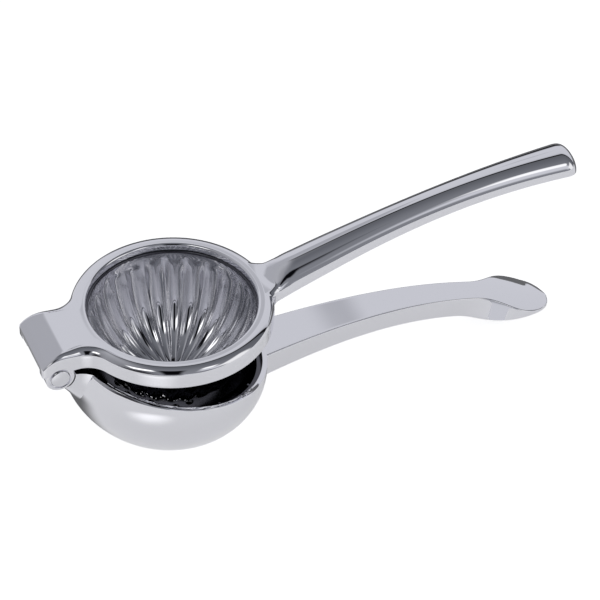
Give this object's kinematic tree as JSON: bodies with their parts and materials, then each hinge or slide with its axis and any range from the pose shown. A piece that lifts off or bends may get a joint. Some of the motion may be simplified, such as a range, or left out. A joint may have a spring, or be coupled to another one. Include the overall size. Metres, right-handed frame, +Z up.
{
  "type": "hinged lemon squeezer",
  "caption": "Two-lever citrus squeezer: a fluted press cup on a hinged ring swings down into a strainer-lined bowl; curved handles on both levers.",
  "frame": {"origin": "middle of the small flat under the bowl, on the surface that the squeezer stands on", "axes": "+X from the bowl towards the handles, +Y along the hinge pin from its head to its collar, +Z up"},
  "size_m": [0.2083, 0.0746, 0.0719],
  "materials": {
    "polished_steel": "mirror polished stainless steel",
    "pressed_steel": "pressed stainless sheet, polished",
    "turned_steel": "fine turned steel"
  },
  "bodies": {
    "bowl_lever": {"bowl_shell": "polished_steel", "strainer_cup": "pressed_steel", "bowl_handle": "polished_steel", "hinge_knuckle": "turned_steel"},
    "press_lever": {"press_ring": "polished_steel", "press_handle": "polished_steel", "press_cup": "pressed_steel", "hinge_pin": "turned_steel", "pin_collar": "turned_steel", "spacer_washers": "turned_steel"}
  },
  "joints": [
    {"name": "press_hinge", "type": "hinge", "parent": "bowl_lever", "child": "press_lever", "pos_m": [-0.04602, 0, 0.04705], "axis": [0, -1, 0], "range_deg": [-14, 86]}
  ]
}
